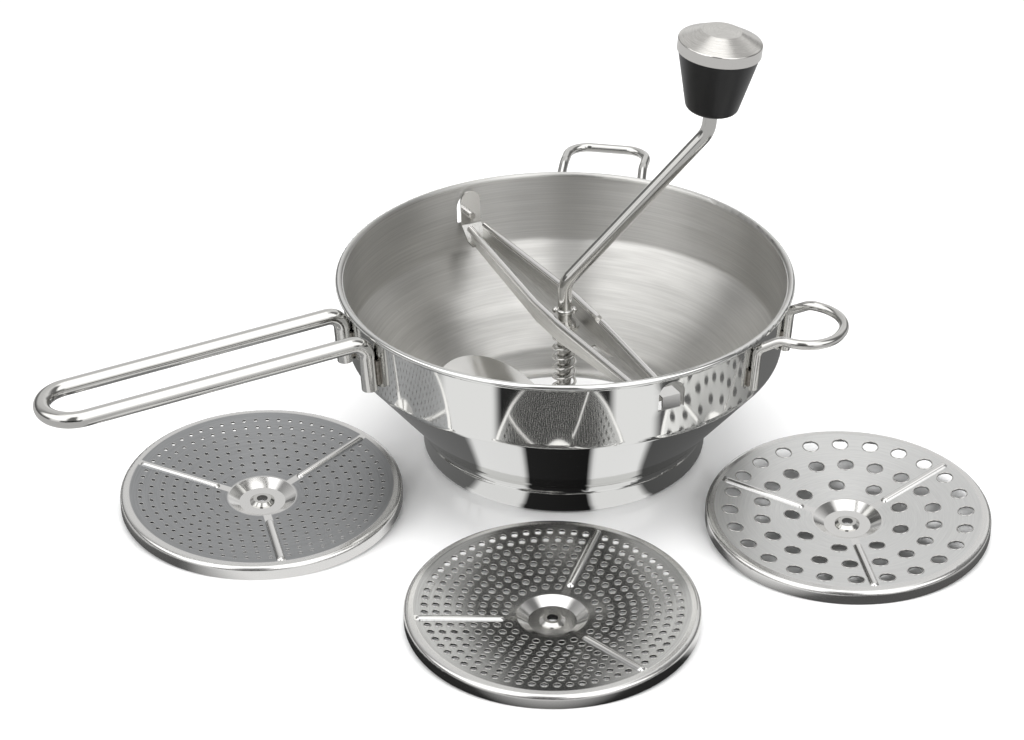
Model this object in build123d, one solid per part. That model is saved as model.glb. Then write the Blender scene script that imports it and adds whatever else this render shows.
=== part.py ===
from build123d import *
import math
import os

os.makedirs("parts", exist_ok=True)

# Hand cranked tomato strainer, 24 cm. Millimetres.
# Origin on the mill's axis at table level, +Z up, +Y away from the viewer.

# ---- bowl ----
rim_r = 120.0            # outside radius over the rolled rim
rim_top = 101.8          # height of the rim above the table
rim_bead_r = 1.8         # radius of the rolled bead
sheet = 1.0              # wall thickness
band_top_r = 117.0       # outside of the band under the bead
crease_r = 114.2         # where the band turns into the cone
crease_z = 63.3
neck_r = 74.0            # where the cone meets the foot ring
neck_z = 14.6
foot_r = 75.0            # outside radius of the foot ring
foot_ring_top = 12.0
foot_round = 4.5         # rounding at the bottom of the foot ring
crease_round = 6.0
neck_round = 3.0
ring_round = 2.0         # where the cone's base turns into the foot ring
seat_hole_r = 68.5       # opening inside the disc seat

window_w = 14.6          # window in the band for the bar's tongue
window_h = 16.0
window_z = 80.0
bar_az = -63.4           # direction of the crossbar

# ---- long handle ----
handle_d = 8.5
handle_az = 204.7
handle_gap = 33.0        # between the two rods, centre to centre
handle_tip_r = 285.4
handle_arm_z = 96.8
handle_tip_z = 87.8
handle_leg_z = 69.0
handle_bend = 8.0

# ---- rest loops ----
loop_d = 5.0
loop_az = [-25.0, 79.7]   # side loop, back loop
loop_leg_half = 22.6     # legs to the mid line
loop_half_w = [20.8, 22.0]
loop_tip_r = [153.0, 151.2]
loop_corner = [19.6, 12.0]
loop_z = 101.2           # height of the tip
loop_shoulder = (128.5, 102.0)
loop_shoulder_bend = 9.0
loop_leg_z = 72.0
loop_bend_z = 95.0       # where the leg turns outward, just under the bead
loop_bend = 5.0

# ---- crossbar ----
bar_sheet = 1.2
ridge_z = 81.0           # top of the two side ridges
ridge_r = 1.9
bar_floor = 69.3         # underside of the web in the middle
bar_half = [5.0, 11.6, 11.4, 6.8]
bar_floors = [72.0, 69.3, 69.3, 75.8]
bar_stations = [-104.0, -12.0, 14.0, 98.0]
bar_flare = 1.2          # how much wider the channel is at the top
ridge_bend = 60.0        # how gently the ridges turn at the middle
tongue_root = 8.0        # overlap of the tongue and the web's end
tongue_run = [2.0, 9.0]  # where it leaves the web and where it is level
tongue_w = 10.0
tongue_top = 87.6
ear_w = 11.6
ear_top = 98.5
ear_root = 6.0           # overlap of the ear and the web's end
ear_bend_z = 79.0        # above this the ear follows the wall
ear_gap = 1.4            # between the ear's back and the wall
nose_r = 1.6             # pressed nose that catches the window's sill
nose_reach = 2.1
slot_shape = [(27.0, 3.6), (52.0, 5.6), (54.0, 3.4), (28.0, 0.2)]
notch_u = 20.0           # notch in the ridge beside the shaft
notch_w = 4.5
notch_h = 3.4
bush_r = 6.0             # bushing through the web
bush_h = 4.0
bush_lip = 0.6           # how far it stands below the web
bush_flange_r = 7.6
bush_flange_h = 1.0
button_r = 3.2           # round rivet at the foot of the ear
button_z = 76.4
button_in = 5.2

# ---- crank ----
rod_d = 7.5
shaft_tip_z = 0.4
shaft_tip_d = 5.4
shaft_tip_h = 6.0        # length of the thinner tip
crank_corner_z = 95.7    # first bend, on the mill's axis
crank_bend = 13.0
grip_bend = 16.0
knob_lean = 5.5          # knob axis leans outward, degrees
knob_base = (73.6, 195.8)
grip_corner = (72.4, 183.2)
stop_z = 78.6            # underside of the stop collar
stop_h = 2.2
stop_r = 4.7
stop_round = 0.8
stop_ear_r = 1.9         # the two crimped ears of the collar

# ---- knob ----
knob_h = 38.4            # height up to the cap's shoulder
knob_recess = 32.0       # floor of the pocket for the clip
knob_pocket_r = 7.5
knob_bottom_r = 13.2
knob_bottom_round = 3.6
knob_top_r = 21.0
cap_r = 21.6
cap_band = 6.0
cap_top_r = 10.2
cap_rise = 5.6
cap_sheet = 0.9
cap_step = 1.8           # depth of the cap's band over the body
cap_round = 0.8
clip_r = 6.6
clip_h = 0.8
clip_lift = 0.3          # clip above the pocket's floor

# ---- spring and blade ----
spring_r = 5.8           # to the centre of the wire
spring_wire = 1.6
spring_pitch = 5.9
washer_r = 7.2
washer_h = 1.0
hub_r = 7.5
hub_low = 8.0
hub_high = 29.0
hub_edge = 0.6
hub_pin_r = 1.5
hub_pin_out = 0.8        # each end of the pin stands out of the hub
blade_reach = 70.0
blade_root = 0.0         # inner end of the blade, in the hub
blade_bow = 60.0         # depth of the half moon
blade_t = 1.8
blade_az = 203.0
blade_tilt = 18.5
blade_low = 9.5

# ---- discs ----
disc_r = 73.2
disc_top = 10.4          # rim above the underside of the hub
disc_flange = 7.2        # height of the rim flange
disc_sheet = 0.8
disc_round = 2.4
dish_edge_r = 68.5
dish_low_r = 17.5
dish_low_z = 3.9
boss_floor_r = 11.5
disc_hole_r = 2.85
boss_step = 0.5          # slope of the boss between its floor and the dish
eyelet_r = 6.4
eyelet_neck_r = 4.6
eyelet_foot_h = 0.5
eyelet_h = 1.7
rib_in_r = 23.5
rib_out_r = 68.0
rib_w = 4.6
rib_h = 1.3
rib_sink = 0.15          # how deep the rib is let into the dish
ring_in_r = 23.1         # innermost ring of small holes
ring_step = 5.7
ring_count = 8
fine_hole_d = 2.0
fine_pitch = 6.1
fine_keep = 4.6          # small holes keep this far from a rib's middle
medium_hole_d = 3.3
medium_pitch = 6.0
medium_keep = 5.2
coarse_hole_d = 8.0
coarse_rings = [(60.5, 24, 7.5), (44.5, 18, 10.0), (28.5, 9, 20.0)]
fine_az = [162.0, 42.0, -78.0]
medium_az = [189.3, 69.3, -50.7]
coarse_az = [156.7, 36.7, -83.3]
fine_at = (-157.6, -63.9)
medium_at = (-7.8, -175.4)
coarse_at = (144.8, -86.2)

# ---- fits ----
weld_gap = 0.03          # between a welded leg and the band
run_gap = 0.05           # clearance of a running fit
weld_r = 1.0             # radius of a weld bead
weld_out = 0.55          # its middle stands this far off the band
weld_side = 0.62         # and this share of the wire's radius to the side
through = 40.0           # length of cutting tools


def save(node, shape):
    shape.label = node
    export_step(shape, f"parts/{node}.step")


def polar(r, az, z=0.0):
    a = math.radians(az)
    return Vector(r * math.cos(a), r * math.sin(a), z)


def bentWire(points, radii):
    """Lines through the corner points with round bends of the given radii."""
    pts = [Vector(*p) for p in points]
    edges = []
    here = pts[0]
    for i, r in enumerate(radii):
        corner = pts[i + 1]
        a = (pts[i] - corner).normalized()
        b = (pts[i + 2] - corner).normalized()
        half = math.acos(max(-1.0, min(1.0, a.dot(b)))) / 2
        back = r / math.tan(half)
        inner = (a + b).normalized()
        start = corner + a * back
        end = corner + b * back
        mid = corner + inner * (r / math.sin(half) - r)
        if (start - here).length > 0.01:
            edges.append(Line(here, start))
        edges.append(ThreePointArc(start, mid, end))
        here = end
    if (pts[-1] - here).length > 0.01:
        edges.append(Line(here, pts[-1]))
    return Wire(edges)


def rod(path, d):
    start = Plane(origin=path @ 0, z_dir=path % 0)
    return sweep(start * Circle(d / 2), path=path)


def offsetLine(points, t):
    """The same line of points moved sideways by t (to its left)."""
    out = []
    for i, p in enumerate(points):
        dirs = []
        if i > 0:
            dirs.append((p[0] - points[i - 1][0], p[1] - points[i - 1][1]))
        if i < len(points) - 1:
            dirs.append((points[i + 1][0] - p[0], points[i + 1][1] - p[1]))
        normals = []
        for dx, dy in dirs:
            n = math.hypot(dx, dy)
            normals.append((-dy / n, dx / n))
        if len(normals) == 1:
            out.append((p[0] + normals[0][0] * t, p[1] + normals[0][1] * t))
        else:
            (ax, ay), (bx, by) = normals
            k = t / (1 + ax * bx + ay * by)
            out.append((p[0] + (ax + bx) * k, p[1] + (ay + by) * k))
    return out


def spun(points, rounds):
    """Revolve a closed outline (radius, height); rounds maps a point index to its fillet."""
    face = make_face(Polyline(*points, close=True))
    for (x, y), r in rounds:
        near = face.vertices().sort_by_distance(Vector(x, y, 0))[0]
        face = fillet(near, r)
    standing = Plane.XZ * face
    return revolve(standing, Axis.Z, 360)


# ------------------------------------------------------------------ bowl
outer = [
    (band_top_r, rim_top - rim_bead_r),
    (crease_r, crease_z),
    (neck_r, neck_z),
    (foot_r, foot_ring_top),
    (foot_r, 0.0),
    (seat_hole_r, 0.0),
]
inner = offsetLine(outer, -sheet)
inner[-1] = (seat_hole_r, sheet)
rounds = [
    (outer[1], crease_round), (inner[1], crease_round - sheet),
    (outer[2], neck_round), (inner[2], neck_round + sheet),
    (outer[3], ring_round), (inner[3], ring_round - sheet),
    (outer[4], foot_round), (inner[4], foot_round - sheet),
]
bowl = spun(outer + inner[::-1], rounds)
bead_z = rim_top - rim_bead_r
bead = Plane.XZ * (Pos(rim_r - rim_bead_r, bead_z) * Circle(rim_bead_r))
bowl += revolve(bead, Axis.Z, 360)
arch_r = window_w / 2
flat_h = window_h - arch_r
window = Pos(0, 0, window_z + flat_h / 2) * Box(through, window_w, flat_h)
window += Pos(0, 0, window_z + flat_h) * Rot(0, 90, 0) * Cylinder(arch_r, through)
for az in (bar_az, bar_az + 180):
    bowl -= Rot(0, 0, az) * Pos(band_top_r, 0, 0) * window
save("bowl", bowl)


def bandR(z):
    """Outside radius of the band at height z."""
    return crease_r + (band_top_r - crease_r) * (z - crease_z) / (bead_z - crease_z)


band_slope = math.atan2(band_top_r - crease_r, bead_z - crease_z)


def legR(z, wire_r):
    """Radius of the centre of a wire leg that lies along the band."""
    return bandR(z) + wire_r / math.cos(band_slope) + weld_gap


def beside(r, t):
    """Distance along the mid line for a wire t to the side, at radius r."""
    return math.sqrt(r * r - t * t)


# ------------------------------------------------------------ long handle
hr = handle_d / 2
hs = handle_gap / 2
legLow = beside(legR(handle_leg_z, hr), hs)
legTop = beside(legR(handle_arm_z, hr), hs)
arm = [
    (legLow, -hs, handle_leg_z),
    (legTop, -hs, handle_arm_z),
    (handle_tip_r, -hs, handle_tip_z),
    (handle_tip_r, hs, handle_tip_z),
    (legTop, hs, handle_arm_z),
    (legLow, hs, handle_leg_z),
]
handleWire = bentWire(arm, [handle_bend, hs - 0.05, hs - 0.05, handle_bend])
handle = Rot(0, 0, handle_az) * rod(handleWire, handle_d)
save("handle_rod", handle)


def weldSeam(az, t, wire_r, z0, z1):
    """A thin weld bead filling the corner between a leg and the band."""
    seam = None
    for side in (-1, 1):
        pts = []
        for z in (z0, z1):
            r = bandR(z)
            off = t + side * wire_r * weld_side
            pts.append(Vector(beside(r + weld_out, off), off, z))
        path = Line(pts[0], pts[1])
        piece = rod(path, 2 * weld_r)
        seam = piece if seam is None else seam + piece
    return Rot(0, 0, az) * seam


def weldPair(az, half_w, wire_r, z0, z1, wire):
    """Both legs' seams of one bent wire, as far as they stand out of band and wire."""
    seams = weldSeam(az, -half_w, wire_r, z0, z1)
    seams += weldSeam(az, half_w, wire_r, z0, z1)
    return seams - bowl - wire


save("handle_welds", weldPair(handle_az, hs, hr, handle_leg_z + 3, handle_leg_z + 17, handle))

# ------------------------------------------------------------- rest loops
lr = loop_d / 2
loopNames = ["rest_loop_side", "rest_loop_back"]
loopWelds = []
low = beside(legR(loop_leg_z, lr), loop_leg_half)
high = beside(legR(loop_bend_z, lr), loop_leg_half)
for name, az, half_w, tip_r, corner in zip(loopNames, loop_az, loop_half_w, loop_tip_r, loop_corner):
    pts = []
    for side in (-1, 1):
        half = [
            (low, side * loop_leg_half, loop_leg_z),
            (high, side * loop_leg_half, loop_bend_z),
            (loop_shoulder[0], side * half_w, loop_shoulder[1]),
            (tip_r, side * half_w, loop_z),
        ]
        pts += half if side < 0 else half[::-1]
    bends = [loop_bend, loop_shoulder_bend, corner]
    bends += bends[::-1]
    loop = Rot(0, 0, az) * rod(bentWire(pts, bends), loop_d)
    save(name, loop)
    loopWelds += weldPair(az, loop_leg_half, lr, loop_leg_z + 2, loop_leg_z + 11, loop).solids()
save("loop_welds", Compound(children=loopWelds))

# -------------------------------------------------------------- crossbar
def barSection(u, half, floor, top):
    plane = Plane(origin=(u, 0, 0), x_dir=(0, 1, 0), z_dir=(1, 0, 0))
    low = half - bar_flare
    pts = [(-half, top), (half, top), (low, floor), (-low, floor)]
    return plane * make_face(Polyline(*pts, close=True))


shell = []
core = []
for u, half, floor in zip(bar_stations, bar_half, bar_floors):
    shell.append(barSection(u, half, floor, ridge_z))
    core.append(barSection(u, half - bar_sheet, floor + bar_sheet, ridge_z + ridge_r))
channel = loft(shell, ruled=True) - loft(core, ruled=True)
for side in (-1, 1):
    line = [
        (u, side * (half - bar_sheet / 2), ridge_z - bar_sheet / 3)
        for u, half in zip(bar_stations, bar_half)
    ]
    channel += rod(bentWire(line, [ridge_bend, ridge_bend]), 2 * ridge_r)

# near tongue: out of the web, up, and down onto the lower edge of the window
bar_near = bar_stations[-1]
near_web = bar_floors[-1] + bar_sheet / 2
hook_r = bandR(window_z) - sheet / 2
hook_z = tongue_top - bar_sheet / 2
tongueLine = [
    (bar_near - tongue_root, near_web),
    (bar_near + tongue_run[0], near_web),
    (bar_near + tongue_run[1], hook_z),
    (hook_r, hook_z),
    (hook_r, window_z),
]
strip = offsetLine(tongueLine, bar_sheet / 2) + offsetLine(tongueLine, -bar_sheet / 2)[::-1]
tongue = Plane.XZ * make_face(Polyline(*strip, close=True))
tongue = extrude(tongue, tongue_w / 2, both=True)
channel += tongue
# far ear: upright tab against the wall with a pressed nose in the window
far_web = bar_floors[0] + bar_sheet / 2
ear_back = sheet + ear_gap + bar_sheet / 2
earLine = [
    (bar_stations[0] + ear_root, far_web),
    (bar_stations[0], far_web),
    (ear_back - bandR(ear_bend_z), ear_bend_z),
    (ear_back - bandR(ear_top), ear_top),
]
strip = offsetLine(earLine, bar_sheet / 2) + offsetLine(earLine, -bar_sheet / 2)[::-1]
ear = Plane.XZ * make_face(Polyline(*strip, close=True))
ear = extrude(ear, ear_w / 2, both=True)
round_z = ear_top - ear_w / 2
trim = Pos(bar_stations[0], 0, round_z) * Rot(0, 90, 0) * Cylinder(ear_w / 2, through)
trim += Pos(bar_stations[0], 0, round_z - through / 2) * Box(through, ear_w, through)
ear &= trim
nose_z = window_z + nose_r
nose_in = ear_back - bandR(nose_z)
nose = Pos(nose_in - nose_reach / 2, 0, nose_z) * Rot(0, 90, 0) * Cylinder(nose_r, nose_reach)
ear += nose
channel += ear

# bore for the bushing, lightening slot and notch on the near half
channel -= Pos(0, 0, bar_floor) * Cylinder(bush_r, 2 * bush_h)
slot = make_face(Polyline(*slot_shape, close=True))
channel -= Plane.XY.offset(bar_floor - bar_sheet) * extrude(slot, 4 * bar_sheet)
notch = Box(notch_w, 3 * ridge_r, notch_h)
channel -= Pos(notch_u, bar_half[2] - bar_sheet / 2, ridge_z + ridge_r - notch_h / 2) * notch
save("crossbar", Rot(0, 0, bar_az) * channel)

# flanged bushing pressed into the web
bush_low = bar_floor - bush_lip
web_top = bar_floor + bar_sheet
bush = Pos(0, 0, bush_low + bush_h / 2) * Cylinder(bush_r, bush_h)
bush += Pos(0, 0, web_top + bush_flange_h / 2) * Cylinder(bush_flange_r, bush_flange_h)
bush -= Pos(0, 0, bar_floor) * Cylinder(rod_d / 2 + run_gap, through)
save("bar_bushing", bush)

button = Pos(button_in - bandR(button_z) + sheet, 0, button_z) * Sphere(button_r)
button = (button - channel).solids().sort_by(SortBy.VOLUME)[-1]
save("ear_button", Rot(0, 0, bar_az) * button)

# ------------------------------------------------------------ crank shaft
lean = math.radians(knob_lean)
knobAxis = Vector(math.sin(lean), 0, math.cos(lean))
knobBase = Vector(knob_base[0], 0, knob_base[1])
spindleTop = knobBase + knobAxis * (knob_recess + clip_lift + 2 * clip_h)
crankPts = [
    (0, 0, shaft_tip_z + shaft_tip_h),
    (0, 0, crank_corner_z),
    (grip_corner[0], 0, grip_corner[1]),
    (spindleTop.X, 0, spindleTop.Z),
]
crank = rod(bentWire(crankPts, [crank_bend, grip_bend]), rod_d)
tip = Cylinder(shaft_tip_d / 2, shaft_tip_h + run_gap)
crank += Pos(0, 0, shaft_tip_z + (shaft_tip_h + run_gap) / 2) * tip
hub_mid = (hub_low + hub_high) / 2
pinHole = Pos(0, 0, hub_mid) * Rot(0, 90, 0) * Cylinder(hub_pin_r, through)
crank -= pinHole
save("crank_rod", crank)

stop = Pos(0, 0, stop_z + stop_h / 2) * Cylinder(stop_r, stop_h)
stop = fillet(stop.edges(), stop_round)
for side in (-1, 1):
    stop += Pos(side * stop_r, 0, stop_z + stop_h / 2) * Sphere(stop_ear_r)
stop -= Pos(0, 0, stop_z) * Cylinder(rod_d / 2, through)
save("stop_collar", stop)

# ------------------------------------------------------------------ knob
knobPlane = Plane(origin=knobBase, x_dir=(knobAxis.Z, 0, -knobAxis.X), z_dir=knobAxis)
band_z = knob_h - cap_band
neck = knob_top_r - cap_step
cap_top = knob_h + cap_rise
bodyLine = [
    (0, 0), (knob_bottom_r, 0), (knob_top_r, band_z), (neck, band_z), (neck, knob_h), (0, knob_h),
]
body = spun(bodyLine, [((knob_bottom_r, 0), knob_bottom_round)])
body -= Cylinder(rod_d / 2 + run_gap, 2 * knob_h)
pocket_h = knob_h - knob_recess
body -= Pos(0, 0, knob_recess + pocket_h / 2) * Cylinder(knob_pocket_r, pocket_h)
save("knob_body", knobPlane * body)

capLine = [
    (cap_r, band_z), (cap_r, knob_h), (cap_top_r, cap_top), (0, cap_top),
    (0, cap_top - cap_sheet), (cap_top_r - cap_sheet / 3, cap_top - cap_sheet),
    (neck, knob_h), (neck, band_z),
]
cap = spun(capLine, [((cap_r, knob_h), cap_round)])
save("knob_cap", knobPlane * cap)

clip = Cylinder(clip_r, clip_h) - Cylinder(rod_d / 2, through)
save("knob_clip", knobPlane * Pos(0, 0, knob_recess + clip_lift + clip_h / 2) * clip)

# ------------------------------------------------- spring, hub and blade
washer = Cylinder(washer_r, washer_h) - Cylinder(rod_d / 2 + run_gap, through)
washer_low_z = hub_high + run_gap
washer_top_z = bush_low - washer_h
save("spring_washer_low", Pos(0, 0, washer_low_z + washer_h / 2) * washer)
save("spring_washer_top", Pos(0, 0, washer_top_z + washer_h / 2) * washer)

spring_z0 = washer_low_z + washer_h + spring_wire / 2
spring_z1 = washer_top_z - spring_wire / 2
coil = Helix(pitch=spring_pitch, height=spring_z1 - spring_z0, radius=spring_r)
start = Plane(origin=coil @ 0, z_dir=coil % 0)
spring = sweep(start * Circle(spring_wire / 2), path=coil, is_frenet=True)
save("spring", Pos(0, 0, spring_z0) * spring)

hub = Pos(0, 0, hub_mid) * Cylinder(hub_r, hub_high - hub_low)
hub = chamfer(hub.edges().filter_by(GeomType.CIRCLE), hub_edge)
hub -= Pos(0, 0, hub_mid) * Cylinder(rod_d / 2, through)
hub -= pinHole
save("blade_hub", hub)
pin = Cylinder(hub_pin_r, 2 * (hub_r + hub_pin_out))
save("hub_pin", Pos(0, 0, hub_mid) * Rot(0, 90, 0) * pin)

# half-moon plate: straight scraping edge low, round edge raised behind
chord = blade_reach - blade_root
mid = (blade_reach + blade_root) / 2
plate = Pos(mid, 0) * Ellipse(chord / 2, blade_bow)
plate &= Pos(mid, -blade_bow / 2) * Rectangle(chord, blade_bow)
plate = extrude(plate, blade_t)
plate = Rot(-blade_tilt, 0, 0) * plate
plate = Pos(0, 0, blade_low) * Rot(0, 0, blade_az) * plate
plate -= Pos(0, 0, hub_mid) * Cylinder(hub_r, 2 * through)
save("blade", plate)

# ----------------------------------------------------------------- discs
boss_floor_z = disc_sheet
flange_z = disc_top - disc_flange
# a disc on the table rests on its hub and on one side of its flange
disc_lean = math.degrees(math.atan2(flange_z, disc_r - boss_floor_r))


def dishZ(r):
    """Height of the dish at radius r."""
    return dish_low_z + (disc_top - dish_low_z) * (r - dish_low_r) / (dish_edge_r - dish_low_r)


def discBlank(rib_az):
    top = [
        (disc_r, flange_z), (disc_r, disc_top), (dish_edge_r, disc_top), (dish_low_r, dish_low_z),
        (boss_floor_r + boss_step, boss_floor_z), (disc_hole_r, boss_floor_z),
    ]
    under = offsetLine(top, disc_sheet)
    under[0] = (disc_r - disc_sheet, flange_z)
    under[-1] = (disc_hole_r, boss_floor_z - disc_sheet)
    blank = spun(top + under[::-1], [(top[1], disc_round), (under[1], disc_round - disc_sheet)])
    rib_l = rib_out_r - rib_in_r
    rib_mid = (rib_in_r + rib_out_r) / 2
    tilt = math.degrees(math.atan2(dishZ(rib_out_r) - dishZ(rib_in_r), rib_l))
    round_r = (rib_w * rib_w / 4 + rib_h * rib_h) / (2 * rib_h)
    half_l = (rib_l - rib_w) / 2
    rib = Rot(0, 90, 0) * Cylinder(round_r, 2 * half_l)
    for side in (-1, 1):
        rib += Pos(side * half_l, 0, 0) * Sphere(round_r)
    rib = Pos(0, 0, rib_h - round_r) * rib
    rib &= Pos(0, 0, rib_h / 2 - rib_sink) * Box(2 * rib_l, through, rib_h + 2 * rib_sink)
    for az in rib_az:
        blank += Rot(0, 0, az) * Pos(rib_mid, 0, dishZ(rib_mid)) * Rot(0, -tilt, 0) * rib
    return blank


def discEyelet():
    line = [
        (disc_hole_r, boss_floor_z), (eyelet_r, boss_floor_z),
        (eyelet_r, boss_floor_z + eyelet_foot_h), (eyelet_neck_r, boss_floor_z + eyelet_h),
        (disc_hole_r, boss_floor_z + eyelet_h),
    ]
    return spun(line, [])


def drill(r, az, d):
    return Pos(polar(r, az)) * Cylinder(d / 2, through)


def holeRing(r, count, first, d):
    return [drill(r, first + 360 * i / count, d) for i in range(count)]


def sectorRings(rib_az, rings, pitch, d, keep):
    """Rings of small holes between the ribs, keep mm clear of each rib's centre."""
    tools = []
    for r in rings:
        edge = math.degrees(math.asin(keep / r))
        count = int((120 - 2 * edge) * math.pi / 180 * r / pitch) + 1
        step = (120 - 2 * edge) / (count - 1)
        for start_az in rib_az:
            for i in range(count):
                tools.append(drill(r, start_az + edge + i * step, d))
    return tools


ringRadii = [ring_in_r + ring_step * i for i in range(ring_count)]
fineTools = sectorRings(fine_az, ringRadii, fine_pitch, fine_hole_d, fine_keep)
mediumTools = sectorRings(medium_az, ringRadii, medium_pitch, medium_hole_d, medium_keep)
coarseTools = []
for r, count, turn in coarse_rings:
    coarseTools += holeRing(r, count, coarse_az[0] + turn, coarse_hole_d)

discs = [
    ("disc_fine", fine_at, fine_az, fineTools),
    ("disc_medium", medium_at, medium_az, mediumTools),
    ("disc_coarse", coarse_at, coarse_az, coarseTools),
]
# the lean pushes the front of the flange down to the table
lift = boss_floor_r * math.sin(math.radians(disc_lean))
for name, (x, y), rib_az, tools in discs:
    lying = Pos(x, y, lift) * Rot(disc_lean, 0, 0)
    save(name, lying * (discBlank(rib_az) - tools))
    save(name + "_eyelet", lying * discEyelet())

print("done")
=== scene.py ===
import math
import bpy
from mathutils import Matrix, Vector


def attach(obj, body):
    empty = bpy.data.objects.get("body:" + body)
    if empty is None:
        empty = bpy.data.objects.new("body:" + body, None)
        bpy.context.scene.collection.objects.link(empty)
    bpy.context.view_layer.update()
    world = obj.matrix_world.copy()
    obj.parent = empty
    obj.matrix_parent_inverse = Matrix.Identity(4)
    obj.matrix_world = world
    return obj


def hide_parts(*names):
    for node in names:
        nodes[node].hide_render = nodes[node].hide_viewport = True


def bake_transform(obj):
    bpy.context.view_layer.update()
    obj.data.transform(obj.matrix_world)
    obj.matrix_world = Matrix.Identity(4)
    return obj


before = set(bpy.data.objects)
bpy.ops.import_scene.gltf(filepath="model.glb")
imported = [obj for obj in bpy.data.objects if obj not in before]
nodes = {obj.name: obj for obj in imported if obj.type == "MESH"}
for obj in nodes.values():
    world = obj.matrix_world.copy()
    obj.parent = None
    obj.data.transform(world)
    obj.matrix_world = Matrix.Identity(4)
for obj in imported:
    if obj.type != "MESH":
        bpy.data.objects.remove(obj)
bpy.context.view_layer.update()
mm = 0.001
noiseSpan = (0.3, 0.7)  # most values of a noise texture lie between these
toneSpan = (0.2, 0.8)   # a grain's darkest and lightest tone are reached here


def linear(hexText):  # sRGB hex to linear
    channels = [int(hexText[i:i + 2], 16) / 255 for i in (1, 3, 5)]
    return [c / 12.92 if c <= 0.04045 else ((c + 0.055) / 1.055) ** 2.4 for c in channels] + [1.0]


def addNode(tree, kind, links=None, stops=(), **settings):  # a node with settings, colour stops and links
    node = tree.nodes.new(kind)
    for name, value in settings.items():
        setattr(node, name, value)
    for _ in stops[2:]:  # a new ramp has two stops already
        node.color_ramp.elements.new(0.5)
    for i, (place, colour) in enumerate(stops):
        node.color_ramp.elements[i].position = place
        node.color_ramp.elements[i].color = linear(colour)
    for socket, value in (links or {}).items():
        if isinstance(value, bpy.types.NodeSocket):
            tree.links.new(value, node.inputs[socket])
        else:
            node.inputs[socket].default_value = value
    return node


def newMaterial(name, **surface):  # a Principled surface with its uniform values set on the sockets
    material = bpy.data.materials.new(name)
    material.use_nodes = True
    tree = material.node_tree
    shader = tree.nodes["Principled BSDF"]
    for socket, value in surface.items():
        shader.inputs[socket.replace("_", " ")].default_value = value
    return material, tree, shader


def wire(tree, shader, **sources):  # feeds what varies over the surface into its sockets
    for socket, source in sources.items():
        tree.links.new(source, shader.inputs[socket.replace("_", " ")])


def dress(material, *names):
    for name in names:
        for slot in nodes[name].material_slots:
            slot.material = material


def aroundAxis(tree, centre, axis=(0, 0, 1)):  # height, radius and directions round an axis
    coords = addNode(tree, "ShaderNodeTexCoord")
    spot = coords.outputs["Object"]
    arm = addNode(tree, "ShaderNodeVectorMath", {0: spot, 1: centre}, operation="SUBTRACT").outputs[0]
    along = addNode(tree, "ShaderNodeVectorMath", {0: arm, 1: axis}, operation="DOT_PRODUCT")
    height = along.outputs["Value"]
    lift = addNode(tree, "ShaderNodeVectorMath", {0: axis, "Scale": height}, operation="SCALE").outputs[0]
    flat = addNode(tree, "ShaderNodeVectorMath", {0: arm, 1: lift}, operation="SUBTRACT").outputs[0]
    radius = addNode(tree, "ShaderNodeVectorMath", {0: flat}, operation="LENGTH")
    turn = addNode(tree, "ShaderNodeVectorMath", {0: flat}, operation="NORMALIZE").outputs[0]
    side = addNode(tree, "ShaderNodeVectorMath", {0: axis, 1: turn}, operation="CROSS_PRODUCT").outputs[0]
    facing = coords.outputs["Normal"]
    slope = addNode(tree, "ShaderNodeVectorMath", {0: facing, 1: side}, operation="CROSS_PRODUCT")
    return {
        "slope": slope.outputs[0],  # straight up the surface
        "height": height,
        "radius": radius.outputs["Value"],
        "turn": turn,               # away from the axis
    }


def spunGrain(tree, around, line, arc, across):  # lines round the axis, line wide and arc radii long
    slow = addNode(tree, "ShaderNodeVectorMath", {0: around["turn"], "Scale": 1 / arc}, operation="SCALE")
    steps = addNode(tree, "ShaderNodeMath", {0: around[across], 1: 1 / line}, operation="MULTIPLY")
    fast = addNode(tree, "ShaderNodeCombineXYZ", {"Z": steps.outputs[0]})
    where = addNode(tree, "ShaderNodeVectorMath", {0: slow.outputs[0], 1: fast.outputs[0]}, operation="ADD")
    noise = {"Vector": where.outputs[0], "Scale": 1.0, "Detail": 3.0, "Roughness": 0.65}
    return addNode(tree, "ShaderNodeTexNoise", noise).outputs["Fac"]


bowlLook = {
    "outside": "#dcdcda",          # mirror polished sheet
    "outsideRough": 0.045,
    "inside": "#dad9d6",           # satin brushed sheet
    "insideDark": "#c2c1be",
    "insideRough": (0.35, 0.46),
    "insideFrom": (-0.12, 0.02),   # how far a face looks away from the axis, from inside to outside
    "lineWidth": 0.8 * mm,         # brush lines, drawn coarser than the real grit
    "lineLength": 0.5,             # share of the bowl's radius
    "patchWidth": 6 * mm,          # broad bands where the brush pressed more or less
    "patchLength": 0.6,
    "spread": 0.9,                 # anisotropy
    "relief": 0.12, "reliefDepth": 0.05 * mm,
}


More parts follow.
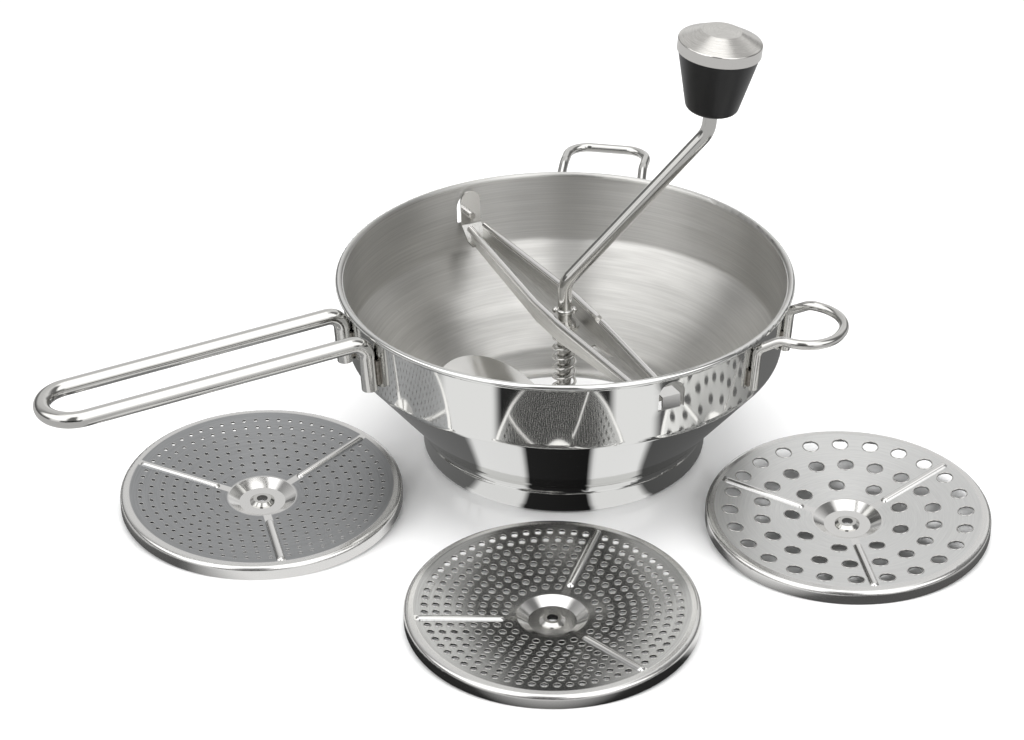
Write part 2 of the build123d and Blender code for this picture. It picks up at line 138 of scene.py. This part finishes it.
def polishedBowlSteel():
    # pressed 18/10 stainless: mirror polish outside,
    # circular brushing inside that spreads highlights up and down
    look = bowlLook
    material, tree, shader = newMaterial("pressedStainlessBowl", Metallic=1.0, Anisotropic=look["spread"])
    around = aroundAxis(tree, (0, 0, 0))
    facing = addNode(tree, "ShaderNodeTexCoord").outputs["Normal"]
    outward = addNode(tree, "ShaderNodeVectorMath", {0: facing, 1: around["turn"]}, operation="DOT_PRODUCT")
    inside = addNode(tree, "ShaderNodeMapRange", {
        "Value": outward.outputs["Value"],
        "From Min": look["insideFrom"][0], "From Max": look["insideFrom"][1],
        "To Min": 1.0, "To Max": 0.0,
    }).outputs["Result"]
    grain = spunGrain(tree, around, look["lineWidth"], look["lineLength"], "height")
    patches = spunGrain(tree, around, look["patchWidth"], look["patchLength"], "height")
    tones = [(toneSpan[0], look["insideDark"]), (toneSpan[1], look["inside"])]
    satin = addNode(tree, "ShaderNodeValToRGB", {"Fac": grain}, tones)
    colours = {"Factor": inside, "A": linear(look["outside"]), "B": satin.outputs["Color"]}
    colour = addNode(tree, "ShaderNodeMix", colours, data_type="RGBA")
    brushed = addNode(tree, "ShaderNodeMapRange", {
        "Value": patches,
        "From Min": noiseSpan[0], "From Max": noiseSpan[1],
        "To Min": look["insideRough"][0], "To Max": look["insideRough"][1],
    })
    gloss = {"Factor": inside, "A": look["outsideRough"], "B": brushed.outputs["Result"]}
    rough = addNode(tree, "ShaderNodeMix", gloss, data_type="FLOAT")
    strength = addNode(tree, "ShaderNodeMath", {0: inside, 1: look["relief"]}, operation="MULTIPLY")
    bump = addNode(tree, "ShaderNodeBump", {
        "Strength": strength.outputs[0], "Distance": look["reliefDepth"], "Height": grain,
    })
    wire(
        tree, shader, Base_Color=colour.outputs["Result"], Roughness=rough.outputs["Result"],
        Tangent=around["slope"], Normal=bump.outputs["Normal"],
    )
    return material


dress(polishedBowlSteel(), "bowl")
print("bowl dressed")


rodLook = {
    "colour": "#cac9c6",
    "rough": (0.06, 0.16),
    "smear": 9 * mm,        # size of the duller patches
    "fine": 0.8 * mm,       # unevenness left by tumbling, drawn coarse enough to show
    "relief": 0.03, "reliefDepth": 0.05 * mm,
}


def drawnRodSteel():
    # bright drawn stainless rod, tumbled smooth: crisp reflections with a slightly uneven gloss
    look = rodLook
    material, tree, shader = newMaterial("brightDrawnRod", Metallic=1.0, Base_Color=linear(look["colour"]))
    spot = addNode(tree, "ShaderNodeTexCoord").outputs["Object"]
    cloud = addNode(tree, "ShaderNodeTexNoise", {"Vector": spot, "Scale": 1 / look["smear"], "Detail": 4.0})
    rough = addNode(tree, "ShaderNodeMapRange", {
        "Value": cloud.outputs["Fac"],
        "From Min": noiseSpan[0], "From Max": noiseSpan[1],
        "To Min": look["rough"][0], "To Max": look["rough"][1],
    })
    fine = addNode(tree, "ShaderNodeTexNoise", {"Vector": spot, "Scale": 1 / look["fine"], "Detail": 2.0})
    bump = addNode(tree, "ShaderNodeBump", {
        "Strength": look["relief"], "Distance": look["reliefDepth"], "Height": fine.outputs["Fac"],
    })
    wire(tree, shader, Roughness=rough.outputs["Result"], Normal=bump.outputs["Normal"])
    return material


rodSteel = drawnRodSteel()
dress(rodSteel, "handle_rod", "rest_loop_side", "rest_loop_back", "crank_rod")
dress(rodSteel, "spring", "stop_collar", "bar_bushing")


def liveSpring():  # the spring's own shape again, as a copy of its mesh in place of the hidden CAD spring
    cadSpring = nodes["spring"]
    bpy.context.view_layer.update()
    spring = bpy.data.objects.new("pressureSpring", cadSpring.data.copy())
    bpy.context.scene.collection.objects.link(spring)
    spring.matrix_world = cadSpring.matrix_world
    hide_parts("spring")
    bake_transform(spring)


liveSpring()

weldLook = {
    "colour": "#9a968f", "dark": "#77716a",
    "rough": 0.35,
    "ripple": 1.1 * mm,     # one ripple of the bead
    "relief": 0.5, "reliefDepth": 0.2 * mm,
}


def weldSteel():
    # bead left as welded: rippled, a little browned by heat
    look = weldLook
    material, tree, shader = newMaterial("weldBeadSteel", Metallic=1.0, Roughness=look["rough"])
    spot = addNode(tree, "ShaderNodeTexCoord").outputs["Object"]
    ripple = addNode(tree, "ShaderNodeTexNoise", {"Vector": spot, "Scale": 1 / look["ripple"], "Detail": 3.0})
    tones = [(noiseSpan[0], look["dark"]), (noiseSpan[1], look["colour"])]
    tone = addNode(tree, "ShaderNodeValToRGB", {"Fac": ripple.outputs["Fac"]}, tones)
    bump = addNode(tree, "ShaderNodeBump", {
        "Strength": look["relief"], "Distance": look["reliefDepth"], "Height": ripple.outputs["Fac"],
    })
    wire(tree, shader, Base_Color=tone.outputs["Color"], Normal=bump.outputs["Normal"])
    return material


dress(weldSteel(), "handle_welds", "loop_welds")
print("rods dressed")


barLook = {
    "satin": "#e2e1de", "satinDark": "#c2c1be", "satinRough": 0.36,
    "ridge": "#e4e3e1", "ridgeRough": 0.10,
    "ridgeFrom": (79.6 * mm, 80.4 * mm),   # height above the table where the polished ridges begin
    "direction": -63.4,                    # degrees, the bar's run seen from above
    "lineWidth": 0.5 * mm, "lineLength": 25 * mm,
    "relief": 0.1, "reliefDepth": 0.05 * mm,
}


def pressedBarSteel():
    # pressed channel: satin web brushed along its length, side ridges polished by the press tool
    look = barLook
    material, tree, shader = newMaterial("pressedSatinBar", Metallic=1.0)
    spot = addNode(tree, "ShaderNodeTexCoord").outputs["Object"]
    turned = addNode(tree, "ShaderNodeVectorRotate", {
        "Vector": spot, "Axis": (0, 0, 1), "Angle": math.radians(-look["direction"]),
    })
    stretch = (1 / look["lineLength"], 1 / look["lineWidth"], 1 / look["lineWidth"])
    lines = addNode(tree, "ShaderNodeVectorMath", {0: turned.outputs[0], 1: stretch}, operation="MULTIPLY")
    grain = addNode(tree, "ShaderNodeTexNoise", {"Vector": lines.outputs[0], "Scale": 1.0, "Detail": 3.0})
    ridge = addNode(tree, "ShaderNodeMapRange", {
        "Value": addNode(tree, "ShaderNodeSeparateXYZ", {"Vector": spot}).outputs["Z"],
        "From Min": look["ridgeFrom"][0], "From Max": look["ridgeFrom"][1],
    }).outputs["Result"]
    tones = [(toneSpan[0], look["satinDark"]), (toneSpan[1], look["satin"])]
    satin = addNode(tree, "ShaderNodeValToRGB", {"Fac": grain.outputs["Fac"]}, tones)
    colours = {"Factor": ridge, "A": satin.outputs["Color"], "B": linear(look["ridge"])}
    colour = addNode(tree, "ShaderNodeMix", colours, data_type="RGBA")
    gloss = {"Factor": ridge, "A": look["satinRough"], "B": look["ridgeRough"]}
    rough = addNode(tree, "ShaderNodeMix", gloss, data_type="FLOAT")
    bump = addNode(tree, "ShaderNodeBump", {
        "Strength": look["relief"], "Distance": look["reliefDepth"], "Height": grain.outputs["Fac"],
    })
    wire(
        tree, shader, Base_Color=colour.outputs["Result"], Roughness=rough.outputs["Result"],
        Normal=bump.outputs["Normal"],
    )
    return material


dress(pressedBarSteel(), "crossbar")

turnedLook = {
    "colour": "#c9c7c3",
    "rough": (0.11, 0.24),
    "toolMark": 0.3 * mm, "markLength": 0.8,
    "relief": 0.1, "reliefDepth": 0.04 * mm,
}


def turnedSteel():
    # small lathe-turned pieces: fine tool marks round the shaft's axis
    look = turnedLook
    material, tree, shader = newMaterial("turnedStainless", Metallic=1.0, Base_Color=linear(look["colour"]))
    around = aroundAxis(tree, (0, 0, 0))
    grain = spunGrain(tree, around, look["toolMark"], look["markLength"], "height")
    rough = addNode(tree, "ShaderNodeMapRange", {
        "Value": grain,
        "From Min": noiseSpan[0], "From Max": noiseSpan[1],
        "To Min": look["rough"][0], "To Max": look["rough"][1],
    })
    bump = addNode(tree, "ShaderNodeBump", {
        "Strength": look["relief"], "Distance": look["reliefDepth"], "Height": grain,
    })
    wire(tree, shader, Roughness=rough.outputs["Result"], Normal=bump.outputs["Normal"])
    return material


hubSteel = turnedSteel()
dress(hubSteel, "ear_button", "blade_hub", "hub_pin")
dress(hubSteel, "knob_clip", "spring_washer_top", "spring_washer_low")

bladeLook = {"colour": "#d2d1ce", "rough": (0.09, 0.21), "cloud": 12 * mm}


def bladeSteel():
    # stamped plate, tumbled: nearly a mirror with faint clouding
    look = bladeLook
    material, tree, shader = newMaterial("tumbledBladeSheet", Metallic=1.0, Base_Color=linear(look["colour"]))
    spot = addNode(tree, "ShaderNodeTexCoord").outputs["Object"]
    cloud = addNode(tree, "ShaderNodeTexNoise", {"Vector": spot, "Scale": 1 / look["cloud"], "Detail": 5.0})
    rough = addNode(tree, "ShaderNodeMapRange", {
        "Value": cloud.outputs["Fac"],
        "From Min": noiseSpan[0], "From Max": noiseSpan[1],
        "To Min": look["rough"][0], "To Max": look["rough"][1],
    })
    wire(tree, shader, Roughness=rough.outputs["Result"])
    return material


dress(bladeSteel(), "blade")
print("crossbar, hub and blade dressed")


knobLook = {
    "base": (73.6 * mm, 0.0, 195.8 * mm),
    "lean": 5.5,                # degrees toward +X
    "black": "#0a0a0b",
    "blackRough": (0.28, 0.38),
    "moulding": 0.6 * mm,       # grain of the moulded surface
    "relief": 0.06, "reliefDepth": 0.05 * mm,
    "band": "#dddbd8", "bandRough": 0.09,
    "brushed": "#dedcd8", "brushedDark": "#bcbab6", "brushedRough": 0.27,
    "shoulder": (38.2 * mm, 38.6 * mm),   # height over the base where the cone begins
    "lineWidth": 0.25 * mm, "lineLength": 0.4,
    "fan": 0.75,                # anisotropy of the cone
}
knobAxis = (math.sin(math.radians(knobLook["lean"])), 0.0, math.cos(math.radians(knobLook["lean"])))


def mouldedKnobPlastic():
    # black phenolic moulding: semi-gloss with a faint orange peel
    look = knobLook
    black = linear(look["black"])
    material, tree, shader = newMaterial("blackMouldedPhenolic", Metallic=0.0, IOR=1.5, Base_Color=black)
    spot = addNode(tree, "ShaderNodeTexCoord").outputs["Object"]
    peel = addNode(tree, "ShaderNodeTexNoise", {"Vector": spot, "Scale": 1 / look["moulding"], "Detail": 2.0})
    rough = addNode(tree, "ShaderNodeMapRange", {
        "Value": peel.outputs["Fac"],
        "From Min": noiseSpan[0], "From Max": noiseSpan[1],
        "To Min": look["blackRough"][0], "To Max": look["blackRough"][1],
    })
    bump = addNode(tree, "ShaderNodeBump", {
        "Strength": look["relief"], "Distance": look["reliefDepth"], "Height": peel.outputs["Fac"],
    })
    wire(tree, shader, Roughness=rough.outputs["Result"], Normal=bump.outputs["Normal"])
    return material


def spunCapSteel():
    # spun cap: polished band below the shoulder, cone brushed in circles so that light fans out in sectors
    look = knobLook
    material, tree, shader = newMaterial("spunCapSteel", Metallic=1.0, Anisotropic=look["fan"])
    around = aroundAxis(tree, look["base"], knobAxis)
    cone = addNode(tree, "ShaderNodeMapRange", {
        "Value": around["height"], "From Min": look["shoulder"][0], "From Max": look["shoulder"][1],
    }).outputs["Result"]
    grain = spunGrain(tree, around, look["lineWidth"], look["lineLength"], "radius")
    tones = [(toneSpan[0], look["brushedDark"]), (toneSpan[1], look["brushed"])]
    brushed = addNode(tree, "ShaderNodeValToRGB", {"Fac": grain}, tones)
    colours = {"Factor": cone, "A": linear(look["band"]), "B": brushed.outputs["Color"]}
    colour = addNode(tree, "ShaderNodeMix", colours, data_type="RGBA")
    gloss = {"Factor": cone, "A": look["bandRough"], "B": look["brushedRough"]}
    rough = addNode(tree, "ShaderNodeMix", gloss, data_type="FLOAT")
    wire(
        tree, shader, Base_Color=colour.outputs["Result"], Roughness=rough.outputs["Result"],
        Tangent=around["turn"],
    )
    return material


dress(mouldedKnobPlastic(), "knob_body")
dress(spunCapSteel(), "knob_cap")
print("knob dressed")


discShape = {
    "lean": 2.97, "lift": 0.596,   # degrees and mm: a disc lies on its hub and the front of its flange
    "dishLow": (17.5, 3.9), "dishEdge": (68.5, 10.4),   # radius and height of the dish, mm
    "ribWidth": 4.6,
    "rings": [23.1 + 5.7 * i for i in range(8)],
    "lipSteps": 20, "lipSides": 6,   # faces round a lip and round its section
    "lipOut": 0.7, "lipTall": 0.8,   # in lip widths: from the hole's edge outward, and upward
}
discPolish = {
    "colour": "#dcdbd9", "rough": 0.12,
    "edgeRough": 0.1,              # the rolled edge is duller by this much
    "edgeFrom": (68.2, 68.8), "bossTo": (17.4, 18.6), "ribFade": 0.4,   # mm
    "lineWidth": 0.4 * mm, "lineLength": 0.35,
    "spread": 0.4,                 # anisotropy
    "relief": 0.06, "reliefDepth": 0.05 * mm,
}
discLooks = {  # lengths in mm
    "fine": {
        "at": (-157.6, -63.9), "ribAt": 162.0, "sheet": "#a6a7a8", "dark": "#8c8d8e", "rough": 0.36,
        "hole": 2.0, "pitch": 6.1, "keep": 4.6, "lip": 0.14,
    },
    "medium": {
        "at": (-7.8, -175.4), "ribAt": 189.3, "sheet": "#b8b8b7", "dark": "#989897", "rough": 0.15,
        "hole": 3.3, "pitch": 6.0, "keep": 5.2, "lip": 0.26,
    },
    "coarse": {  # circles: radius, holes, first angle
        "at": (144.8, -86.2), "ribAt": 156.7, "sheet": "#e2e2e0", "dark": "#cccccb", "rough": 0.34,
        "hole": 8.0, "circles": [(60.5, 24, 7.5), (44.5, 18, 10.0), (28.5, 9, 20.0)], "lip": 0.3,
    },
}


def ribShare(tree, around, look):  # 1 on the disc's three ribs, 0 beside them
    third = math.radians(120)
    turn = addNode(tree, "ShaderNodeSeparateXYZ", {"Vector": around["turn"]})
    angle = addNode(tree, "ShaderNodeMath", {0: turn.outputs["Y"], 1: turn.outputs["X"]}, operation="ARCTAN2")
    start = third / 2 - math.radians(look["ribAt"])
    shifted = addNode(tree, "ShaderNodeMath", {0: angle.outputs[0], 1: start}, operation="ADD")
    folded = addNode(tree, "ShaderNodeMath", {0: shifted.outputs[0], 1: third}, operation="FLOORED_MODULO")
    fromRib = addNode(tree, "ShaderNodeMath", {0: folded.outputs[0], 1: third / 2}, operation="SUBTRACT")
    sine = addNode(tree, "ShaderNodeMath", {0: fromRib.outputs[0]}, operation="SINE")
    offset = addNode(tree, "ShaderNodeMath", {0: sine.outputs[0], 1: around["radius"]}, operation="MULTIPLY")
    offset = addNode(tree, "ShaderNodeMath", {0: offset.outputs[0]}, operation="ABSOLUTE")
    half = discShape["ribWidth"] / 2 * mm
    return addNode(tree, "ShaderNodeMapRange", {
        "Value": offset.outputs[0],
        "From Min": half - discPolish["ribFade"] * mm, "From Max": half,
        "To Min": 1.0, "To Max": 0.0,
    }).outputs["Result"]


def discSteel(kind):
    # punched disc: satin from circular brushing, with rolled edge, ribs and boss polished by the press tool
    look, polish = discLooks[kind], discPolish
    centre = (look["at"][0] * mm, look["at"][1] * mm, 0.0)
    name = kind + "PunchedDiscSteel"
    material, tree, shader = newMaterial(name, Metallic=1.0, Anisotropic=polish["spread"])
    around = aroundAxis(tree, centre)
    edge = addNode(tree, "ShaderNodeMapRange", {
        "Value": around["radius"],
        "From Min": polish["edgeFrom"][0] * mm, "From Max": polish["edgeFrom"][1] * mm,
    }).outputs["Result"]
    boss = addNode(tree, "ShaderNodeMapRange", {
        "Value": around["radius"],
        "From Min": polish["bossTo"][0] * mm, "From Max": polish["bossTo"][1] * mm,
        "To Min": 1.0, "To Max": 0.0,
    }).outputs["Result"]
    bright = addNode(tree, "ShaderNodeMath", {0: edge, 1: boss}, operation="MAXIMUM")
    rib = ribShare(tree, around, look)
    bright = addNode(tree, "ShaderNodeMath", {0: bright.outputs[0], 1: rib}, operation="MAXIMUM").outputs[0]
    grain = spunGrain(tree, around, polish["lineWidth"], polish["lineLength"], "radius")
    tones = [(toneSpan[0], look["dark"]), (toneSpan[1], look["sheet"])]
    satin = addNode(tree, "ShaderNodeValToRGB", {"Fac": grain}, tones)
    colours = {"Factor": bright, "A": satin.outputs["Color"], "B": linear(polish["colour"])}
    colour = addNode(tree, "ShaderNodeMix", colours, data_type="RGBA")
    gloss = {"Factor": bright, "A": look["rough"], "B": polish["rough"]}
    rough = addNode(tree, "ShaderNodeMix", gloss, data_type="FLOAT")
    duller = {0: edge, 1: polish["edgeRough"], 2: rough.outputs["Result"]}
    rough = addNode(tree, "ShaderNodeMath", duller, operation="MULTIPLY_ADD")
    bump = addNode(tree, "ShaderNodeBump", {
        "Strength": polish["relief"], "Distance": polish["reliefDepth"], "Height": grain,
    })
    wire(
        tree, shader, Base_Color=colour.outputs["Result"], Roughness=rough.outputs[0],
        Tangent=around["slope"], Normal=bump.outputs["Normal"],
    )
    return material


def holeSpots(look):  # radius and angle of every hole of a disc
    spots = []
    for radius, count, turn in look.get("circles", []):
        spots += [(radius, look["ribAt"] + turn + 360 * i / count) for i in range(count)]
    if "pitch" in look:
        for radius in discShape["rings"]:
            edge = math.degrees(math.asin(look["keep"] / radius))
            sector = 120 - 2 * edge
            count = int(math.radians(sector) * radius / look["pitch"]) + 1
            for rib in range(3):
                first = look["ribAt"] + 120 * rib + edge
                spots += [(radius, first + sector * i / (count - 1)) for i in range(count)]
    return spots


def holeLips(kind):  # the thin burr that the punch rolls up round each hole
    look, shape = discLooks[kind], discShape
    (lowR, lowZ), (edgeR, edgeZ) = shape["dishLow"], shape["dishEdge"]
    slope = math.atan2(edgeZ - lowZ, edgeR - lowR)
    lie = Matrix.Translation((look["at"][0], look["at"][1], shape["lift"]))
    lie = lie @ Matrix.Rotation(math.radians(shape["lean"]), 4, "X")
    steps, sides = shape["lipSteps"], shape["lipSides"]
    verts, faces = [], []
    for radius, angle in holeSpots(look):
        height = lowZ + (radius - lowR) * math.tan(slope)
        place = lie @ Matrix.Rotation(math.radians(angle), 4, "Z")
        place = place @ Matrix.Translation((radius, 0, height)) @ Matrix.Rotation(-slope, 4, "Y")
        start = len(verts)
        for i in range(steps):
            a = 2 * math.pi * i / steps
            for j in range(sides):
                b = 2 * math.pi * j / sides
                out = look["hole"] / 2 + look["lip"] * (shape["lipOut"] + math.cos(b))
                up = look["lip"] * shape["lipTall"] * math.sin(b)
                verts.append(place @ Vector((out * math.cos(a), out * math.sin(a), up)) * mm)
        for i in range(steps):
            for j in range(sides):
                a, b = start + i * sides, start + (i + 1) % steps * sides
                k = (j + 1) % sides
                faces.append((a + j, b + j, b + k, a + k))
    mesh = bpy.data.meshes.new(kind + "HoleLips")
    mesh.from_pydata(verts, [], faces)
    mesh.shade_smooth()
    mesh.materials.append(rodSteel)  # the punch leaves them as bright as the rods
    lips = bpy.data.objects.new(kind + "HoleLips", mesh)
    bpy.context.scene.collection.objects.link(lips)
    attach(lips, kind + "_disc")


for kind in discLooks:
    dress(discSteel(kind), "disc_" + kind)
    dress(rodSteel, "disc_" + kind + "_eyelet")
    holeLips(kind)
print("discs dressed")


stageLook = {
    "floor": "#f4f4f4", "floorRough": 0.10, "floorIor": 1.49,
    "size": 9.0,
    "glow": 0.12,              # lifts the open sheet to white
    "footShade": (62, 125),    # mm from the middle: no lift inside, full lift outside, which paints shade round the foot, and with the next under the discs
    "discShade": (64, 86),
    # what polished metal sees, by compass angle from the front: the dark of the room between
    # two tall white boxes, flags beside them and the white wall at the back. The world gives these tones as
    # light;
    # the floor glows with them for glossy rays only, a painted reflection, with the near view close to the
    # foot
    "lowView": [
        (-180, "#f0f0f0"), (-168, "#f0f0f0"), (-160, "#6c6c6c"), (-112, "#707070"), (-68, "#5e5e5e"),
        (-61, "#ffffff"), (-37, "#ffffff"), (-33, "#2c2c2c"), (21, "#262626"), (25, "#ffffff"),
        (43, "#ffffff"), (48, "#585858"), (108, "#747474"), (150, "#6c6c6c"), (160, "#f0f0f0"),
        (180, "#f0f0f0"),
    ],
    "highView": [
        (-180, "#b0b0b0"), (-140, "#a8a8a8"), (-108, "#6c6c6c"), (-94, "#fafafa"), (-24, "#ffffff"),
        (-17, "#5c5c5c"), (6, "#5c5c5c"), (12, "#ffffff"), (74, "#fafafa"), (88, "#606060"), (112, "#606060"),
        (140, "#c0c0c0"), (180, "#b0b0b0"),
    ],
    "paintedNearView": [
        (-180, "#c8c8c8"), (-120, "#c8c8c8"), (-100, "#7c7c7c"), (-46, "#6a6a6a"), (-42, "#f4f4f4"),
        (-20, "#f4f4f4"), (-17, "#262626"), (10, "#1c1c1c"), (13, "#f8f8f8"), (35, "#f8f8f8"),
        (39, "#565656"), (100, "#6a6a6a"), (120, "#c8c8c8"), (180, "#c8c8c8"),
    ],
    "nearTo": (108, 122), "darkTo": (246, 258),   # mm from the mill's axis: where the floor's painted reflection passes from the near view to the low view, and on to the grey
    "open": "#d4d4d4",         # painted reflection: the grey the sheet glows with for glossy rays beyond the dark
    "whiteFrom": (420, 800),   # mm: the sheet turns into the white sweep behind and in front of it
    "apex": (0.0, -50 * mm),   # the sectors of the floor's painted reflection fan out from here
    "highFrom": (0.18, 0.42),  # how steeply metal looks up, where the high view takes over
    "topFrom": (0.88, 0.96),   # and where it meets the white overhead
    "top": "#ffffff",
    "highPower": 1.9,
    "even": 0.62,              # soft light from all sides on what isn't a mirror
}


def roomViewAndPaintedReflection(tree, across, ahead, stops):  # the colour seen at a compass angle: the room's light in the world, a painted reflection on the floor
    back = addNode(tree, "ShaderNodeMath", {0: ahead, 1: -1.0}, operation="MULTIPLY")
    angle = addNode(tree, "ShaderNodeMath", {0: across, 1: back.outputs[0]}, operation="ARCTAN2")
    share = addNode(tree, "ShaderNodeMapRange", {
        "Value": angle.outputs[0], "From Min": -math.pi, "From Max": math.pi,
    })
    places = [((place + 180) / 360, colour) for place, colour in stops]
    return addNode(tree, "ShaderNodeValToRGB", {"Fac": share.outputs["Result"]}, places).outputs["Color"]


def glowWithPaintedShade(tree, spot):  # the floor's lift, taken away under the mill and the discs: painted shade there, on top of the real shadow
    look = stageLook
    glow = look["glow"]
    circles = [((0, 0), look["footShade"])]
    circles += [(disc["at"], look["discShade"]) for disc in discLooks.values()]
    for (x, y), (near, far) in circles:
        centre = (x * mm, y * mm, 0)
        apart = addNode(tree, "ShaderNodeVectorMath", {0: spot, 1: centre}, operation="DISTANCE")
        clear = addNode(tree, "ShaderNodeMapRange", {
            "Value": apart.outputs["Value"], "From Min": near * mm, "From Max": far * mm,
        })
        share = clear.outputs["Result"]
        glow = addNode(tree, "ShaderNodeMath", {0: share, 1: glow}, operation="MULTIPLY").outputs[0]
    return glow


def whiteFloor():
    # glossy white acrylic sheet: soft reflections of the steel, white to the eye;
    # to polished metal it glows with dark and white sectors, a painted reflection of a room
    look = stageLook
    white = linear(look["floor"])
    material, tree, shader = newMaterial(
        "whiteAcrylicFloor", Base_Color=white, Roughness=look["floorRough"], IOR=look["floorIor"],
    )
    bpy.ops.mesh.primitive_plane_add(size=look["size"], location=(0, 0, 0))
    floor = bpy.context.object
    floor.name = "floor"
    spot = addNode(tree, "ShaderNodeTexCoord").outputs["Object"]
    # the lift is a glow; leaving it out near the foot and the discs paints shade there
    lift = addNode(tree, "ShaderNodeEmission", {"Strength": glowWithPaintedShade(tree, spot)})
    eye = addNode(tree, "ShaderNodeAddShader", {0: shader.outputs["BSDF"], 1: lift.outputs[0]})
    away = addNode(tree, "ShaderNodeVectorMath", {0: spot}, operation="LENGTH").outputs["Value"]
    share = {}
    for zone in ("nearTo", "darkTo", "whiteFrom"):  # 0 inside a zone's edge, 1 outside it
        near, far = look[zone]
        limits = {"Value": away, "From Min": near * mm, "From Max": far * mm}
        share[zone] = addNode(tree, "ShaderNodeMapRange", limits).outputs["Result"]
    sweep = addNode(tree, "ShaderNodeEmission").outputs[0]
    eye = addNode(tree, "ShaderNodeMixShader", {0: share["whiteFrom"], 1: eye.outputs[0], 2: sweep})
    parts = addNode(tree, "ShaderNodeSeparateXYZ", {"Vector": spot})
    right, ahead = parts.outputs["X"], parts.outputs["Y"]
    nearPaintedReflection = roomViewAndPaintedReflection(tree, right, ahead, look["paintedNearView"])
    right = addNode(tree, "ShaderNodeMath", {0: right, 1: look["apex"][0]}, operation="SUBTRACT").outputs[0]
    ahead = addNode(tree, "ShaderNodeMath", {0: ahead, 1: look["apex"][1]}, operation="SUBTRACT").outputs[0]
    view = roomViewAndPaintedReflection(tree, right, ahead, look["lowView"])
    colours = {"Factor": share["nearTo"], "A": nearPaintedReflection, "B": view}
    view = addNode(tree, "ShaderNodeMix", colours, data_type="RGBA")
    colours = {"Factor": share["darkTo"], "A": view.outputs["Result"], "B": linear(look["open"])}
    view = addNode(tree, "ShaderNodeMix", colours, data_type="RGBA")
    # painted reflection: for glossy rays the floor glows with these tones instead of showing its own surface
    roomAndPaintedReflection = addNode(tree, "ShaderNodeEmission", {"Color": view.outputs["Result"]})
    glossy = addNode(tree, "ShaderNodeLightPath").outputs["Is Glossy Ray"]
    pick = addNode(tree, "ShaderNodeMixShader", {0: glossy, 1: eye.outputs[0], 2: roomAndPaintedReflection.outputs[0]})
    tree.links.new(pick.outputs[0], tree.nodes["Material Output"].inputs["Surface"])
    floor.data.materials.append(material)


softBoxes = {  # metres and watts
    "topBox": {"place": (0.0, 0.1, 1.5), "aim": (0, 0, 0), "width": 1.6, "height": 1.2, "power": 18},
    "leftBox": {"place": (-1.4, -0.5, 0.9), "aim": (0, 0, 0.05), "width": 0.7, "height": 1.4, "power": 12},
    "rightBox": {"place": (1.4, -0.4, 0.9), "aim": (0, 0, 0.05), "width": 0.7, "height": 1.4, "power": 12},
}


def softBox(name):  # lights the scene, and is seen by neither camera nor mirror
    look = softBoxes[name]
    light = bpy.data.lights.new(name, "AREA")
    light.shape = "RECTANGLE"
    light.size = look["width"]
    light.size_y = look["height"]
    light.energy = look["power"]
    lamp = bpy.data.objects.new(name, light)
    bpy.context.scene.collection.objects.link(lamp)
    lamp.location = look["place"]
    lamp.rotation_euler = (Vector(look["aim"]) - Vector(look["place"])).to_track_quat("-Z", "Y").to_euler()
    lamp.visible_camera = False
    lamp.visible_glossy = False


def studioWorld():  # white to the eye, the room to polished metal, even light to the rest
    look = stageLook
    world = bpy.data.worlds.new("studio")
    bpy.context.scene.world = world
    world.use_nodes = True
    tree = world.node_tree
    way = addNode(tree, "ShaderNodeTexCoord").outputs["Generated"]
    parts = addNode(tree, "ShaderNodeSeparateXYZ", {"Vector": way})
    low = roomViewAndPaintedReflection(tree, parts.outputs["X"], parts.outputs["Y"], look["lowView"])
    high = roomViewAndPaintedReflection(tree, parts.outputs["X"], parts.outputs["Y"], look["highView"])
    share = {}
    for zone in ("highFrom", "topFrom"):
        limits = {"Value": parts.outputs["Z"], "From Min": look[zone][0], "From Max": look[zone][1]}
        share[zone] = addNode(tree, "ShaderNodeMapRange", limits).outputs["Result"]
    colours = {"Factor": share["highFrom"], "A": low, "B": high}
    sides = addNode(tree, "ShaderNodeMix", colours, data_type="RGBA")
    colours = {"Factor": share["topFrom"], "A": sides.outputs["Result"], "B": linear(look["top"])}
    view = addNode(tree, "ShaderNodeMix", colours, data_type="RGBA").outputs["Result"]
    power = addNode(tree, "ShaderNodeMapRange", {
        "Value": share["highFrom"], "To Min": 1.0, "To Max": look["highPower"],
    }).outputs["Result"]
    roomAndPaintedReflection = addNode(tree, "ShaderNodeBackground", {"Color": view, "Strength": power})
    even = addNode(tree, "ShaderNodeBackground", {"Color": (1, 1, 1, 1), "Strength": look["even"]})
    white = addNode(tree, "ShaderNodeBackground", {"Color": (1, 1, 1, 1), "Strength": 1.0})
    glossy = addNode(tree, "ShaderNodeLightPath").outputs["Is Glossy Ray"]
    lit = addNode(tree, "ShaderNodeMixShader", {0: glossy, 1: even.outputs[0], 2: roomAndPaintedReflection.outputs[0]})
    seen = addNode(tree, "ShaderNodeLightPath").outputs["Is Camera Ray"]
    pick = addNode(tree, "ShaderNodeMixShader", {0: seen, 1: lit.outputs[0], 2: white.outputs[0]})
    tree.links.new(pick.outputs[0], tree.nodes["World Output"].inputs["Surface"])


cameraLook = {
    "place": (-27.7 * mm, -1573.9 * mm, 938.9 * mm),
    "down": 29.64,             # degrees below the horizon
    "sensor": 36.0,            # mm
    "focal": 3413 / 1024,      # in picture widths
    "reach": 50.0,             # metres
}


def photoCamera():
    look = cameraLook
    camera = bpy.data.cameras.new("photoCamera")
    camera.sensor_width = look["sensor"]
    camera.lens = look["focal"] * look["sensor"]
    camera.clip_end = look["reach"]
    seat = bpy.data.objects.new("photoCamera", camera)
    bpy.context.scene.collection.objects.link(seat)
    seat.location = look["place"]
    seat.rotation_euler = (math.radians(90 - look["down"]), 0, 0)
    bpy.context.scene.camera = seat


whiteFloor()
for name in softBoxes:
    softBox(name)
studioWorld()
photoCamera()
bpy.context.scene.view_settings.view_transform = "Standard"
print("stage, light and camera set")
